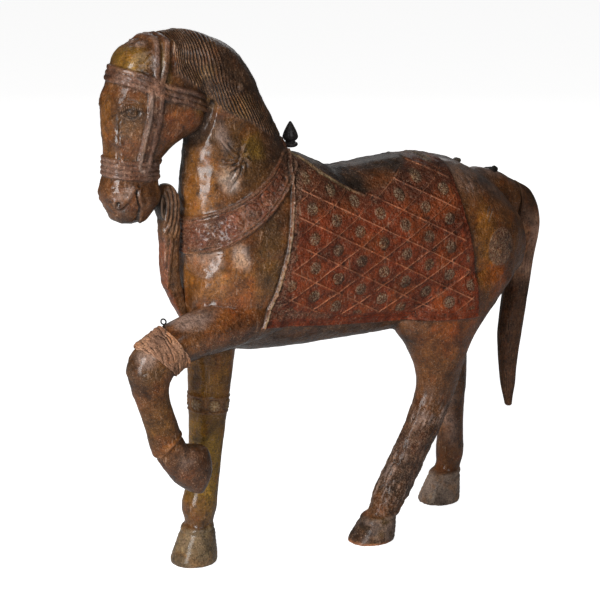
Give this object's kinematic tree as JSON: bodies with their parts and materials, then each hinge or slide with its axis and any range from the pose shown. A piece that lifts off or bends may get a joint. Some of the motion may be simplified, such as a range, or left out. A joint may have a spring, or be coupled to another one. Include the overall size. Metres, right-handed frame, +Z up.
{
  "type": "wooden horse statue",
  "caption": "Old carved and painted wooden horse with a bridle, a quilted saddle cloth and a raised left foreleg",
  "frame": {"origin": "on the floor, under the middle of the horse's box", "axes": "the horse faces -X, its left side is -Y, and +Z is up"},
  "size_m": [0.864, 0.225, 0.9045],
  "materials": {
    "carved_wood": "worn paint under old glossy varnish",
    "tail_wood": "dark stain, satin",
    "dark_knob": "turned and blackened, satin",
    "black_iron": "rough, blackened",
    "binding_cloth": "wrinkled, stiffened with glue, matt"
  },
  "bodies": {
    "root": {"horse": "carved_wood", "tail": "tail_wood", "chest_scroll": "carved_wood", "saddle_finial": "dark_knob", "croup_stub": "black_iron", "croup_nail": "black_iron", "knee_wire": "black_iron", "knee_binding": "binding_cloth"}
  },
  "joints": []
}
